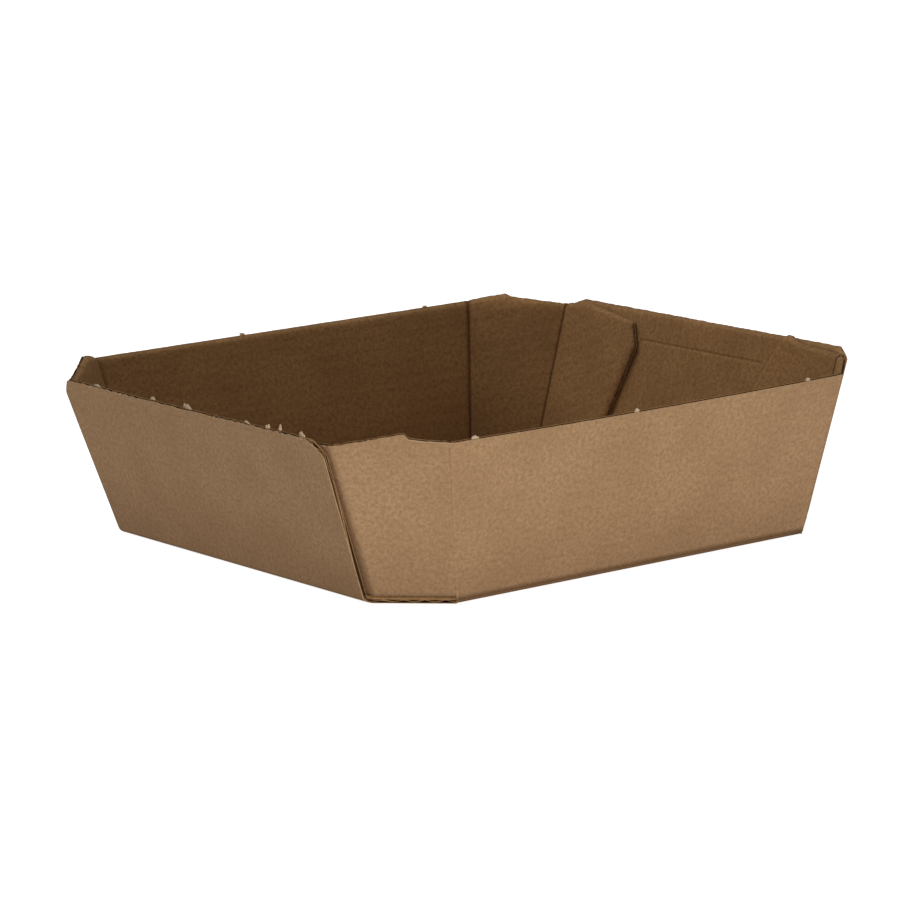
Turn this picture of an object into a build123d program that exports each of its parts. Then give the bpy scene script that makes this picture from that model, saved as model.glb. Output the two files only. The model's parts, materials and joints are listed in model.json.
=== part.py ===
from build123d import *
import os
from math import cos, radians, sin, sqrt, tan

# Folded corrugated tray box. Units are millimetres, +Z is up.
# The origin is the centre of the underside of the base. X runs along the flutes of the base.
# One die-cut blank is folded into a base with four cut corners, two long walls, two short walls and four
# diagonal corner panels. Each corner panel hangs on a long wall and ends in a tab, which is glued inside
# the short wall. Every wall leans outwards, so empty trays nest.

# ---- driving dimensions ------------------------------------------------------------------------
# base and walls, measured on the outer faces of the board
base_length = 236.0
base_width = 234.0
corner_cut = 26.5
wall_height = 69.5
long_wall_lean = 11.8
short_wall_lean = 18.5
corner_lean = 15.1

# corrugated board
board = 3.0
liner = 0.35
medium = 0.4
flute_pitch = 6.4
flute_bond = 1.8
flute_mouth_depth = 8.0
fold_radius = 1.8

# free edges of the walls and of the corner panels
short_wall_rise = 1.0
short_wall_overhang = 3.0
short_wall_chamfer_across = 10.0
short_wall_chamfer_down = 7.0
corner_peak_rise = 3.0
corner_peak_place = 20.0
panel_clearance = 0.3

# glue tab: reaches are measured from its fold, along the short wall
tab_drop = 1.5
tab_peak_reach = 15.5
tab_peak_rise = 2.4
tab_end_reach = 49.0
tab_end_drop = 2.5
tab_shoulder_reach = 54.0
tab_shoulder_drop = 13.0
tab_foot_reach = 38.5

# hot-melt dabs that hold each tab
glue_gap = 0.3
dab_radius = 6.5
dab_height = 42.0
dab_reaches = (14.0, 34.0)

# ---- worked out from the driving dimensions ----------------------------------------------------
half_length = base_length / 2
half_width = base_width / 2
corner_reach = half_length + half_width - corner_cut
wall_foot = board + panel_clearance
half_pitch = flute_pitch / 2
channel_width = flute_pitch - flute_bond
channel_crest = flute_bond - 2 * medium
tab_offset = (board + glue_gap) / cos(radians(short_wall_lean))
corners = [(end, side) for end in (-1, 1) for side in (-1, 1)]


def long_fold(end, side, level):
    """Point of the fold between a long wall and a corner panel, on the outer faces."""
    across = half_width + level * tan(radians(long_wall_lean))
    corner = corner_reach + level * tan(radians(corner_lean)) * sqrt(2)
    return Vector(end * (corner - across), side * across, level)


def tab_fold(end, side, level):
    """Point of the fold between a corner panel and its tab, on the outer faces."""
    along = half_length + level * tan(radians(short_wall_lean)) - tab_offset
    corner = corner_reach + level * tan(radians(corner_lean)) * sqrt(2)
    return Vector(end * along, side * (corner - along), level)


def short_wall_edge(end, side, level):
    """Point of the free side edge of a short wall, on its outer face."""
    along = half_length + level * tan(radians(short_wall_lean))
    corner = corner_reach + level * tan(radians(corner_lean)) * sqrt(2)
    overhang = short_wall_overhang * level / wall_height
    return Vector(end * along, side * (corner - along + overhang), level)


def leaning_plane(foot, outward, lean):
    """Outer face of a wall: x runs along it, y up its slope and z into the tray."""
    slope = outward * sin(radians(lean)) + Vector(0, 0, cos(radians(lean)))
    inward = Vector(0, 0, sin(radians(lean))) - outward * cos(radians(lean))
    return Plane(origin=foot, x_dir=slope.cross(inward), z_dir=inward)


def long_wall_plane(side):
    return leaning_plane(Vector(0, side * half_width, 0), Vector(0, side, 0), long_wall_lean)


def short_wall_plane(end):
    return leaning_plane(Vector(end * half_length, 0, 0), Vector(end, 0, 0), short_wall_lean)


def tab_plane(end):
    return short_wall_plane(end).offset(board + glue_gap)


def corner_plane(end, side):
    outward = Vector(end, side, 0).normalized()
    return leaning_plane(outward * corner_reach / sqrt(2), outward, corner_lean)


def board_panel(face, outline):
    """Flat panel of board: the outline lies on its outer face, and the board fills inwards."""
    with BuildPart() as panel:
        with BuildSketch(face):
            with BuildLine():
                Polyline(*outline, close=True)
            make_face()
        extrude(amount=board)
    return panel.part


def flute_mouths(face, start, finish, flute):
    """Channels of the fluted medium, where a cut edge from start to finish opens them.

    The ends and the flute's direction, which points into the board, are in the plane of the face.
    """
    span = abs((finish - start).dot(Vector(-flute.Y, flute.X)))
    count = int((span - channel_width) // half_pitch) + 1
    reach = (finish - start).length + flute_mouth_depth
    flute_direction = face.from_local_coords(flute) - face.origin
    section = Plane(
        origin=face.from_local_coords((start + finish) / 2),
        x_dir=face.z_dir.cross(flute_direction),
        z_dir=flute_direction,
    )
    outer = [(-channel_width / 2, liner), (channel_width / 2, liner)]
    outer += [(channel_crest / 2, board - liner), (-channel_crest / 2, board - liner)]
    inner = [(x, board - y) for x, y in outer]
    with BuildPart() as mouths:
        with BuildSketch(section):
            for index in range(count):
                with Locations(((index - (count - 1) / 2) * half_pitch, 0)):
                    Polygon(*(outer, inner)[index % 2], align=None)
        extrude(amount=reach, both=True)
        with BuildSketch(face):
            with BuildLine():
                Polyline(
                    start - flute * channel_width,
                    finish - flute * channel_width,
                    finish + flute * flute_mouth_depth,
                    start + flute * flute_mouth_depth,
                    close=True,
                )
            make_face()
        extrude(amount=board, mode=Mode.INTERSECT)
    return mouths.part


def turned_about_fold(direction, fold, face, next_face):
    """Direction in one panel, carried over a fold into the next panel."""
    along = fold * direction.dot(fold)
    return along + fold.cross(next_face.z_dir) * direction.dot(fold.cross(face.z_dir))


# ---- the blank, folded ---------------------------------------------------------------------------
def base_outline():
    """Octagon of the base, counter-clockwise."""
    long_half = half_length - corner_cut
    short_half = half_width - corner_cut
    return [
        Vector(-long_half, -half_width),
        Vector(long_half, -half_width),
        Vector(half_length, -short_half),
        Vector(half_length, short_half),
        Vector(long_half, half_width),
        Vector(-long_half, half_width),
        Vector(-half_length, short_half),
        Vector(-half_length, -short_half),
    ]


def long_wall_outline(side):
    face = long_wall_plane(side)
    ends = [long_fold(-1, side, 0), long_fold(1, side, 0)]
    ends += [long_fold(1, side, wall_height), long_fold(-1, side, wall_height)]
    return [face.to_local_coords(point) for point in ends]


def short_wall_outline(end):
    """Short wall with chamfered upper corners, from one foot round to the other."""
    face = short_wall_plane(end)
    top = wall_height + short_wall_rise
    half = []
    for side in (-1, 1):
        foot = face.to_local_coords(short_wall_edge(end, side, 0))
        peak = face.to_local_coords(short_wall_edge(end, side, top))
        inwards = Vector(-short_wall_chamfer_across if peak.X > 0 else short_wall_chamfer_across, 0)
        shoulder = foot + (peak - foot) * (1 - short_wall_chamfer_down / (peak.Y - foot.Y))
        half.append([foot, shoulder, peak + inwards])
    return half[0] + half[1][::-1]


def corner_outline(end, side):
    """Corner panel, whose free top edge rises to a blunt peak between its two folds."""
    face = corner_plane(end, side)
    hinge_top = face.to_local_coords(long_fold(end, side, wall_height))
    tab_top = face.to_local_coords(tab_fold(end, side, wall_height - tab_drop))
    run = (tab_top - hinge_top).normalized()
    peak = hinge_top + run * corner_peak_place + Vector(0, corner_peak_rise)
    return [
        face.to_local_coords(long_fold(end, side, wall_foot)),
        hinge_top,
        peak,
        tab_top,
        face.to_local_coords(tab_fold(end, side, wall_foot)),
    ]


def tab_outline(end, side):
    """Glue tab: it peaks beside its fold, drops to a short end, and slants back to its foot."""
    face = tab_plane(end)
    top = face.to_local_coords(tab_fold(end, side, wall_height - tab_drop))
    foot = face.to_local_coords(tab_fold(end, side, wall_foot))
    inwards = Vector(-1 if top.X > 0 else 1, 0)
    return [
        foot,
        top,
        top + inwards * tab_peak_reach + Vector(0, tab_peak_rise),
        top + inwards * tab_end_reach - Vector(0, tab_end_drop),
        top + inwards * tab_shoulder_reach - Vector(0, tab_shoulder_drop),
        foot + inwards * tab_foot_reach,
    ]


def tab_flute(end, side):
    """Direction of the flutes in a tab, towards its fold, in the plane of the tab."""
    first_fold = (long_fold(end, side, wall_height) - long_fold(end, side, 0)).normalized()
    second_fold = (tab_fold(end, side, wall_height) - tab_fold(end, side, 0)).normalized()
    corner_face = corner_plane(end, side)
    in_corner = turned_about_fold(Vector(-end, 0, 0), first_fold, long_wall_plane(side), corner_face)
    in_tab = turned_about_fold(in_corner, second_fold, corner_face, tab_plane(end))
    face = tab_plane(end)
    return face.to_local_coords(face.origin + in_tab)


with BuildPart() as folded_blank:
    add(board_panel(Plane.XY, base_outline()))
    for side in (-1, 1):
        add(board_panel(long_wall_plane(side), long_wall_outline(side)))
    for end in (-1, 1):
        add(board_panel(short_wall_plane(end), short_wall_outline(end)))
    for end, side in corners:
        add(board_panel(corner_plane(end, side), corner_outline(end, side)))
        add(board_panel(tab_plane(end), tab_outline(end, side)))

    # rounded outer bends where the walls leave the base
    underside = folded_blank.edges().filter_by_position(Axis.Z, 0, 0)
    fillet(underside.filter_by(lambda edge: edge.length > 3 * corner_cut), fold_radius)

    # flutes open through the rims of the short walls, the cut corners of the base and the ends of the tabs
    for end in (-1, 1):
        rim = short_wall_outline(end)[2:4]
        add(flute_mouths(short_wall_plane(end), rim[0], rim[1], Vector(0, -1)), mode=Mode.SUBTRACT)
    for end, side in corners:
        cut_start = Vector(end * (half_length - corner_cut), side * half_width)
        cut_finish = Vector(end * half_length, side * (half_width - corner_cut))
        add(flute_mouths(Plane.XY, cut_start, cut_finish, Vector(-end, 0)), mode=Mode.SUBTRACT)
        tab_end = tab_outline(end, side)[3:5]
        add(flute_mouths(tab_plane(end), tab_end[0], tab_end[1], tab_flute(end, side)), mode=Mode.SUBTRACT)

# ---- glue ----------------------------------------------------------------------------------------
with BuildPart() as tab_glue:
    for end, side in corners:
        glue_face = tab_plane(end)
        fold_point = glue_face.to_local_coords(tab_fold(end, side, wall_foot))
        inwards = -1 if fold_point.X > 0 else 1
        with BuildSketch(glue_face):
            for reach in dab_reaches:
                with Locations((fold_point.X + inwards * reach, dab_height)):
                    Circle(dab_radius)
        extrude(amount=-glue_gap)

os.makedirs("parts", exist_ok=True)
folded_blank.part.label = "folded_blank"
export_step(folded_blank.part, "parts/folded_blank.step")
tab_glue.part.label = "tab_glue"
export_step(tab_glue.part, "parts/tab_glue.step")
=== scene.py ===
"""Finish and setting of a folded corrugated tray box, in metres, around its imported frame.

The blank is modelled as the board it is: two thin liners on a waved medium, which shows wherever a cut
crosses the flutes. One strap holds a long wall with its corner panels and glued tabs, and a second strap
holds the base with both short walls.
"""

import json
import logging
from dataclasses import dataclass, field, replace
from enum import Enum, IntEnum
from math import cos, pi, radians, sin, sqrt, tan
from typing import Callable, Dict, List, Sequence, Tuple, Union

import bpy
import numpy as np
from mathutils import Matrix, Vector

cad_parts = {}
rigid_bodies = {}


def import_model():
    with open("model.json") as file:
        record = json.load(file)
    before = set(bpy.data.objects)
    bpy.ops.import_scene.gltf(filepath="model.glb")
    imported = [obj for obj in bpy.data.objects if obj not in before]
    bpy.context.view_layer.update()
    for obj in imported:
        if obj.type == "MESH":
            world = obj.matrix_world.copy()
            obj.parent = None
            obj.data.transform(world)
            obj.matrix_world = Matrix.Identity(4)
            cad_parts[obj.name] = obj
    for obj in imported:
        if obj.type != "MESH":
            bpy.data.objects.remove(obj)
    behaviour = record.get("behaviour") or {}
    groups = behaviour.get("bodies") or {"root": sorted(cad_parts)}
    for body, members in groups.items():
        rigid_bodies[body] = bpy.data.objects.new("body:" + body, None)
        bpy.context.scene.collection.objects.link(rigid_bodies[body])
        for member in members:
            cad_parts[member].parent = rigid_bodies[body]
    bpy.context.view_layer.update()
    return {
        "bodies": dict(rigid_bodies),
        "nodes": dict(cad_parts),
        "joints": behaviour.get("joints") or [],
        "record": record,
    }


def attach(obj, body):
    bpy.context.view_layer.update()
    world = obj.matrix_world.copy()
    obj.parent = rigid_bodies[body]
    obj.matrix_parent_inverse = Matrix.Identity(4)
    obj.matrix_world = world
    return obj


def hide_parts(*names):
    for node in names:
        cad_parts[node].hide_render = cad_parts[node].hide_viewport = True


LOG = logging.getLogger("tray_box")
MM = 0.001
SEED = 7

Colour = Tuple[float, float, float]
Profile = Callable[[np.ndarray], np.ndarray]
WHITE = (1.0, 1.0, 1.0, 1.0)


# ---- shader maths ----------------------------------------------------------------------------------
class Wire:
    """A socket of a node tree, used like a number in Python expressions."""

    def __init__(self, bench: "NodeBench", socket: bpy.types.NodeSocket) -> None:
        """Keeps the socket and the bench that owns its tree."""
        self.bench = bench
        self.socket = socket

    def _maths(self, operation: str, first: "Value", second: "Value" = 0.0) -> "Wire":
        """Adds one Math node and returns its result."""
        return self.bench.node("ShaderNodeMath", {"operation": operation}, {0: first, 1: second})

    def __add__(self, other: "Value") -> "Wire":
        """Sum."""
        return self._maths("ADD", self, other)

    def __radd__(self, other: "Value") -> "Wire":
        """Sum with the number first."""
        return self._maths("ADD", other, self)

    def __sub__(self, other: "Value") -> "Wire":
        """Difference."""
        return self._maths("SUBTRACT", self, other)

    def __rsub__(self, other: "Value") -> "Wire":
        """Difference with the number first."""
        return self._maths("SUBTRACT", other, self)

    def __mul__(self, other: "Value") -> "Wire":
        """Product."""
        return self._maths("MULTIPLY", self, other)

    def __rmul__(self, other: "Value") -> "Wire":
        """Product with the number first."""
        return self._maths("MULTIPLY", other, self)

    def sine(self) -> "Wire":
        """Sine of the value in radians."""
        return self._maths("SINE", self)

    def clamped(self) -> "Wire":
        """Value held between 0 and 1."""
        return self.bench.node("ShaderNodeClamp", {}, {0: self})


Value = Union[float, Tuple[float, ...], Wire]


class NodeBench:
    """Builds the node tree of a material or of the world."""

    def __init__(self, owner: Union[bpy.types.Material, bpy.types.World]) -> None:
        """Empties the owner's node tree."""
        owner.use_nodes = True
        self.tree = owner.node_tree
        self.tree.nodes.clear()

    def add(self, kind: str, settings: Dict[str, object], inputs: Dict[object, Value]) -> bpy.types.Node:
        """Adds one node.

        Args:
            kind: The node's type name.
            settings: Attributes, which are set first.
            inputs: Values or wires by socket name or number.

        Returns:
            The node.
        """
        made = self.tree.nodes.new(kind)
        for key, value in settings.items():
            setattr(made, key, value)
        for key, value in inputs.items():
            if isinstance(value, Wire):
                self.tree.links.new(value.socket, made.inputs[key])
            else:
                made.inputs[key].default_value = value
        return made

    def node(
        self, kind: str, settings: Dict[str, object], inputs: Dict[object, Value], output: object = 0
    ) -> Wire:
        """One output of a new node."""
        return Wire(self, self.add(kind, settings, inputs).outputs[output])

    def mix(self, factor: Value, first: Value, second: Value, blend: str = "MIX") -> Wire:
        """Mix of two colours."""
        settings = {"data_type": "RGBA", "blend_type": blend}
        return self.node("ShaderNodeMix", settings, {0: factor, 6: first, 7: second}, 2)

    def noise(self, place: Wire, scale: float, detail: float = 2.0, roughness: float = 0.5) -> Wire:
        """Noise value around 0.5 at a place."""
        inputs = {"Vector": place, "Scale": scale, "Detail": detail, "Roughness": roughness}
        return self.node("ShaderNodeTexNoise", {}, inputs)

    def step(self, value: Wire, low: float, high: float) -> Wire:
        """Smooth step from 0 at low to 1 at high."""
        inputs = {"Value": value, "From Min": low, "From Max": high}
        return self.node("ShaderNodeMapRange", {"interpolation_type": "SMOOTHSTEP"}, inputs)

    def close(self, shader: Wire, kind: str = "ShaderNodeOutputMaterial") -> None:
        """Ends the tree with a shader."""
        self.add(kind, {}, {"Surface": shader})


def rgba(colour: Colour) -> Tuple[float, float, float, float]:
    """Colour with full alpha."""
    return (*colour, 1.0)


class Paper(Enum):
    """Kraft papers of the tray, by the name of their material."""

    OUTSIDE = "kraft_outside"
    INSIDE = "kraft_inside"
    FLUFF = "kraft_fluff"


@dataclass(frozen=True)
class KraftFinish:
    """Kraft paper: mottled brown fibre, bands over the flutes, paler cut edges, and painted shade in
    creases and towards the floor.
    """

    paper: Paper
    base: Colour
    dark: Colour
    light: Colour
    raw: Colour
    shade: Colour
    band_strength: float
    cloud_scale: float = 34.0
    mottle_scale: float = 560.0
    fibre_scale: float = 1500.0
    band_scale: float = 90.0
    fluff_scale: float = 900.0
    floor_shade_height: float = 38.0 * MM
    bump_depth: float = 0.4 * MM
    roughness: float = 0.82

    def build(self, board: "Board") -> bpy.types.Material:
        """Makes the material.

        Args:
            board: The board, whose flutes set the spacing of the bands.

        Returns:
            The finished material.
        """
        material = bpy.data.materials.new(self.paper.value)
        bench = NodeBench(material)
        sheet = bench.node("ShaderNodeUVMap", {"uv_map": "blank"}, {})
        space = bench.node("ShaderNodeTexCoord", {}, {}, "Object")
        wear_and_shade = bench.node("ShaderNodeAttribute", {"attribute_name": "wear_and_shade"}, {}, "Fac")
        # negative per-point values become the painted shade of creases, shut faces and wall feet
        cut, painted_shade = wear_and_shade.clamped(), (wear_and_shade * -1.0).clamped()
        clouds = bench.noise(sheet, self.cloud_scale, 3.0, 0.6)
        mottle = bench.noise(sheet, self.mottle_scale, 5.0, 0.85)
        fibre = bench.noise(sheet, self.fibre_scale, 2.0, 0.6)
        across = bench.node("ShaderNodeSeparateXYZ", {}, {0: sheet}, 1)
        wave = (across * (2.0 * pi / board.pitch)).sine()
        uneven = bench.noise(sheet, self.band_scale)
        band = wave * uneven * self.band_strength
        tone = bench.mix(bench.step(mottle, 0.32, 0.68), rgba(self.dark), rgba(self.light))
        tone = bench.mix(0.8, rgba(self.base), tone)
        tone = bench.mix(bench.step(clouds, 0.3, 0.72) * 0.35, tone, rgba(self.dark))
        specks = bench.step(fibre, 0.62, 0.74) * 0.35
        tone = bench.mix(specks, tone, rgba(self.light))
        tone = bench.mix((band * 0.5 + 0.02).clamped(), tone, rgba(self.light))
        level = bench.node("ShaderNodeSeparateXYZ", {}, {0: space}, 2)
        # painted shade: the tone darkens towards the shade colour over the lowest few centimetres
        tone = bench.mix((1.0 - bench.step(level, 0.0, self.floor_shade_height)) * 0.2, tone, rgba(self.shade))
        fluff = bench.noise(space, self.fluff_scale, 2.0, 0.6)
        # painted shade: creases, faces shut inside the board and wall feet darken towards the shade colour
        tone = bench.mix(painted_shade * 0.8, tone, rgba(self.shade))
        raw_mask = (cut * bench.step(fluff, 0.3, 0.6)).clamped()
        tone = bench.mix(raw_mask, tone, rgba(self.raw))
        height = mottle * 0.2 + fibre * 0.15 + band * 0.9 + cut * fluff * 0.6
        inputs = {"Strength": 0.35, "Distance": self.bump_depth, "Height": height}
        bump = bench.node("ShaderNodeBump", {}, inputs)
        rough = self.roughness + (mottle - 0.5) * 0.2
        inputs = {"Base Color": tone, "Roughness": rough, "Normal": bump, "Specular IOR Level": 0.25}
        bench.close(bench.node("ShaderNodeBsdfPrincipled", {}, inputs))
        return material


@dataclass(frozen=True)
class GlueFinish:
    """Hot-melt glue: waxy cream with soft ripples."""

    name: str = "hot_melt"
    colour: Colour = (0.78, 0.68, 0.5)
    shade: Colour = (0.7, 0.58, 0.4)
    ripple_scale: float = 260.0
    ripple_depth: float = 0.3 * MM

    def build(self) -> bpy.types.Material:
        """Makes the material.

        Returns:
            The finished material.
        """
        material = bpy.data.materials.new(self.name)
        bench = NodeBench(material)
        space = bench.node("ShaderNodeTexCoord", {}, {}, "Object")
        ripple = bench.noise(space, self.ripple_scale)
        tone = bench.mix(ripple, rgba(self.colour), rgba(self.shade))
        inputs = {"Strength": 0.3, "Distance": self.ripple_depth, "Height": ripple}
        bump = bench.node("ShaderNodeBump", {}, inputs)
        inputs = {"Base Color": tone, "Roughness": 0.3 + ripple * 0.15, "Normal": bump}
        bench.close(bench.node("ShaderNodeBsdfPrincipled", {}, inputs))
        return material


# colour of the painted shade in creases, shut faces, wall feet and near the floor
PAINTED_SHADE_BROWN: Colour = (0.1, 0.045, 0.015)
KRAFT_FINISHES = (
    KraftFinish(
        paper=Paper.OUTSIDE,
        base=(0.35, 0.208, 0.104),
        dark=(0.25, 0.139, 0.064),
        light=(0.455, 0.287, 0.155),
        raw=(0.46, 0.31, 0.185),
        shade=PAINTED_SHADE_BROWN,
        band_strength=0.08,
    ),
    KraftFinish(
        paper=Paper.INSIDE,
        base=(0.34, 0.178, 0.066),
        dark=(0.2, 0.097, 0.031),
        light=(0.5, 0.272, 0.109),
        raw=(0.36, 0.22, 0.11),
        shade=PAINTED_SHADE_BROWN,
        band_strength=0.3,
    ),
    KraftFinish(
        paper=Paper.FLUFF,
        base=(0.46, 0.32, 0.2),
        dark=(0.4, 0.27, 0.165),
        light=(0.56, 0.4, 0.26),
        raw=(0.6, 0.45, 0.3),
        shade=PAINTED_SHADE_BROWN,
        band_strength=0.0,
    ),
)


# ---- the board and its shape -------------------------------------------------------------------------
@dataclass(frozen=True)
class Board:
    """Single-wall corrugated board: its papers, its bends and the depth of its pressed edges."""

    thickness: float = 3.0 * MM
    liner: float = 0.35 * MM
    medium: float = 0.28 * MM
    medium_recess: float = 0.3 * MM
    pitch: float = 6.4 * MM
    bend: float = 3.6 * MM
    lip_bend: float = 1.6 * MM
    crush: float = 2.0 * MM


@dataclass(frozen=True)
class TrayShape:
    """Sizes of the folded tray on the outer faces of the board, and the bow of its long walls."""

    half_length: float = 118.0 * MM
    half_width: float = 117.0 * MM
    corner_cut: float = 26.5 * MM
    height: float = 69.5 * MM
    long_lean: float = radians(11.8)
    short_lean: float = radians(18.5)
    corner_lean: float = radians(15.1)
    rim_rise: float = 1.0 * MM
    foot: float = 3.3 * MM
    long_foot: float = 1.4 * MM
    tab_drop: float = 1.5 * MM
    tab_gap: float = 0.3 * MM
    long_bow: float = 2.2 * MM

    def corner_sum(self, level: float) -> float:
        """Sum of x and y on a corner panel's outer face at one height."""
        foot = self.half_length + self.half_width - self.corner_cut
        return foot + level * tan(self.corner_lean) * sqrt(2)

    def long_fold(self, end: int, side: int, level: float) -> np.ndarray:
        """Point of the fold between a long wall and a corner panel."""
        across = self.half_width + level * tan(self.long_lean)
        return np.array((end * (self.corner_sum(level) - across), side * across, level))

    def tab_fold(self, end: int, side: int, level: float, board: Board) -> np.ndarray:
        """Point of the fold between a corner panel and its tab.

        Args:
            end: -1 or 1 for the end of the tray at -X or +X.
            side: -1 or 1 for the side at -Y or +Y.
            level: Height above the floor.
            board: The board.

        Returns:
            The point on the outer faces.
        """
        offset = (board.thickness + self.tab_gap) / cos(self.short_lean)
        along = self.half_length + level * tan(self.short_lean) - offset
        return np.array((end * along, side * (self.corner_sum(level) - along), level))

    def short_edge(self, level: float) -> float:
        """Half width of a short wall where it meets the corner panels at one height."""
        along = self.half_length + level * tan(self.short_lean)
        return self.corner_sum(level) - along


def unit(vector: np.ndarray) -> np.ndarray:
    """Vector of length 1."""
    return vector / np.linalg.norm(vector)


def smooth_noise(places: np.ndarray, spacing: float, seed: int) -> np.ndarray:
    """Smooth one-dimensional noise between -1 and 1.

    Args:
        places: Where it is read, in metres.
        spacing: Distance between its random values.
        seed: Seed of the values.

    Returns:
        One value for each place.
    """
    steps = places / spacing
    low = np.floor(steps).astype(int)
    blend = steps - low
    blend = blend * blend * (3 - 2 * blend)
    offset = low.min()
    values = np.random.default_rng(SEED + seed).uniform(-1, 1, low.max() - offset + 2)
    return values[low - offset] * (1 - blend) + values[low - offset + 1] * blend


@dataclass(frozen=True)
class WearAndShadeScale:
    """Values of the per-point attribute: above 0 for raw cut paper, below 0 for painted shade."""

    raw: float = 1.0
    side_edge: float = 0.6
    tab_foot: float = 0.4
    long_rim: float = 0.3
    tab_end: float = 0.25
    # painted shade values: along a wall's foot, and on faces shut inside the board
    wall_foot_shade: float = -0.75
    shut_shade: float = -1.0


WEAR_AND_SHADE = WearAndShadeScale()


@dataclass
class Sheet:
    """Thin closed sheet over a grid of points, with its place on the flat blank, its wear and its painted
    shade.
    """

    name: str
    front: np.ndarray
    back: np.ndarray
    flat: np.ndarray
    front_wear_and_shade: np.ndarray
    back_wear_and_shade: np.ndarray

    def build(self, material: bpy.types.Material) -> bpy.types.Object:
        """Makes the mesh object.

        Args:
            material: The finish of the sheet.

        Returns:
            The linked object.
        """
        rows, columns = self.front.shape[:2]
        count = rows * columns
        points = np.concatenate([self.front.reshape(-1, 3), self.back.reshape(-1, 3)])
        index = np.arange(count).reshape(rows, columns)
        quads = np.stack([index[:-1, :-1], index[1:, :-1], index[1:, 1:], index[:-1, 1:]], -1)
        quads = quads.reshape(-1, 4)
        back_quads = quads[:, ::-1] + count
        ring = np.concatenate([index[0, :], index[1:, -1], index[-1, -2::-1], index[-2:0:-1, 0]])
        following = np.roll(ring, -1)
        border = np.stack([ring, following, following + count, ring + count], -1)
        faces = np.concatenate([quads, back_quads, border])
        mesh = bpy.data.meshes.new(self.name)
        mesh.from_pydata(points.tolist(), [], faces.tolist())
        layer = mesh.uv_layers.new(name="blank")
        flat = np.concatenate([self.flat.reshape(-1, 2)] * 2)
        corners = np.empty(len(mesh.loops), dtype=np.int32)
        mesh.loops.foreach_get("vertex_index", corners)
        layer.data.foreach_set("uv", flat[corners].astype(np.float32).ravel())
        wear_and_shade = np.concatenate([self.front_wear_and_shade.ravel(), self.back_wear_and_shade.ravel()])
        # per-point values: raw cut paper above 0, painted shade below 0
        attribute = mesh.attributes.new("wear_and_shade", "FLOAT", "POINT")
        attribute.data.foreach_set("value", wear_and_shade.astype(np.float32))
        smooth = np.ones(len(faces), dtype=bool)
        smooth[len(quads) * 2:] = False
        mesh.polygons.foreach_set("use_smooth", smooth)
        mesh.materials.append(material)
        mesh.update()
        thing = bpy.data.objects.new(self.name, mesh)
        bpy.context.scene.collection.objects.link(thing)
        return thing


# ---- the two straps ------------------------------------------------------------------------------------
class Ply(Enum):
    """Papers of the board, by the last part of their pieces' names."""

    OUTER = "outer_liner"
    MEDIUM = "medium"
    INNER = "inner_liner"


@dataclass
class Layer:
    """One paper of the board: its two faces as depths from the outside."""

    ply: Ply
    outer: Profile
    inner: Profile
    recess: float
    finish: Paper

    def sheet(
        self, prefix: str, front: np.ndarray, back: np.ndarray, flat: np.ndarray, wear_and_shade: np.ndarray
    ) -> Sheet:
        """Sheet of this paper, with painted shade on the faces that are shut inside the board.

        Args:
            prefix: First part of the piece's name.
            front: Grid of points on the outer face.
            back: Grid of points on the inner face.
            flat: Grid of places on the flat blank.
            wear_and_shade: Grid of raw-wear and painted-shade values.

        Returns:
            The sheet.
        """
        # painted shade on the faces shut inside the board: their inner points take the darkest shade value
        shut_shade = wear_and_shade.copy()
        shut_shade[1:-1, 1:-1] = WEAR_AND_SHADE.shut_shade
        front_wear_and_shade = shut_shade if self.ply is Ply.INNER else wear_and_shade
        back_wear_and_shade = shut_shade if self.ply is Ply.OUTER else wear_and_shade
        return Sheet(prefix + self.ply.value, front, back, flat, front_wear_and_shade, back_wear_and_shade)


def liner_layers(board: Board) -> List[Layer]:
    """The outer liner, the waved medium and the inner liner.

    Args:
        board: The board.

    Returns:
        The three papers from the outside in.
    """
    wave_height = (board.thickness - 2 * board.liner - board.medium) / 2
    middle = board.thickness / 2

    def wave(across: np.ndarray) -> np.ndarray:
        """Depth of the middle of the medium."""
        return middle + wave_height * np.sin(across * 2 * pi / board.pitch)

    def flat_depth(depth: float) -> Profile:
        """Constant depth."""
        return lambda across: np.full_like(across, depth)

    far = board.thickness - board.liner
    half = board.medium / 2
    recess = board.medium_recess
    return [
        Layer(Ply.OUTER, flat_depth(0.0), flat_depth(board.liner), 0.0, Paper.OUTSIDE),
        Layer(Ply.MEDIUM, lambda a: wave(a) - half, lambda a: wave(a) + half, recess, Paper.INSIDE),
        Layer(Ply.INNER, flat_depth(far), flat_depth(board.thickness), 0.0, Paper.INSIDE),
    ]


def spread(low: float, high: float, count: int) -> np.ndarray:
    """Evenly spaced values, both ends included."""
    return np.linspace(low, high, count)


def eased(value: np.ndarray) -> np.ndarray:
    """Smooth step from 0 at 0 to 1 at 1."""
    held = np.clip(value, 0.0, 1.0)
    return held * held * (3 - 2 * held)


def crushed(depth: np.ndarray, board: Board, distance: np.ndarray, left: float) -> np.ndarray:
    """Depth in the board where the cutting die has pressed it thin.

    Args:
        depth: Depth in the full board.
        board: The board.
        distance: Distance from the cut edge.
        left: Share of the thickness that is left at the edge.

    Returns:
        Depth in the pressed board, which keeps its outer face.
    """
    share = left + (1 - left) * eased(distance / board.crush)
    return depth * share


@dataclass
class Station:
    """One line across the cross strap, with its half width and its distance below the rim."""

    flat: float
    point: np.ndarray
    normal: np.ndarray
    half: float
    below_rim: float = 1.0


@dataclass(frozen=True)
class WallCorner:
    """Free corner of a short wall: reach past the corner panel at the rim, and the cut-off corner."""

    reach: float
    across: float
    down: float


WALL_CORNERS = {
    (-1, -1): WallCorner(3.0 * MM, 10.0 * MM, 7.5 * MM),
    (-1, 1): WallCorner(1.0 * MM, 5.0 * MM, 7.0 * MM),
    (1, 1): WallCorner(3.0 * MM, 7.6 * MM, 4.0 * MM),
    (1, -1): WallCorner(-1.0 * MM, 6.0 * MM, 5.0 * MM),
}


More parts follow.
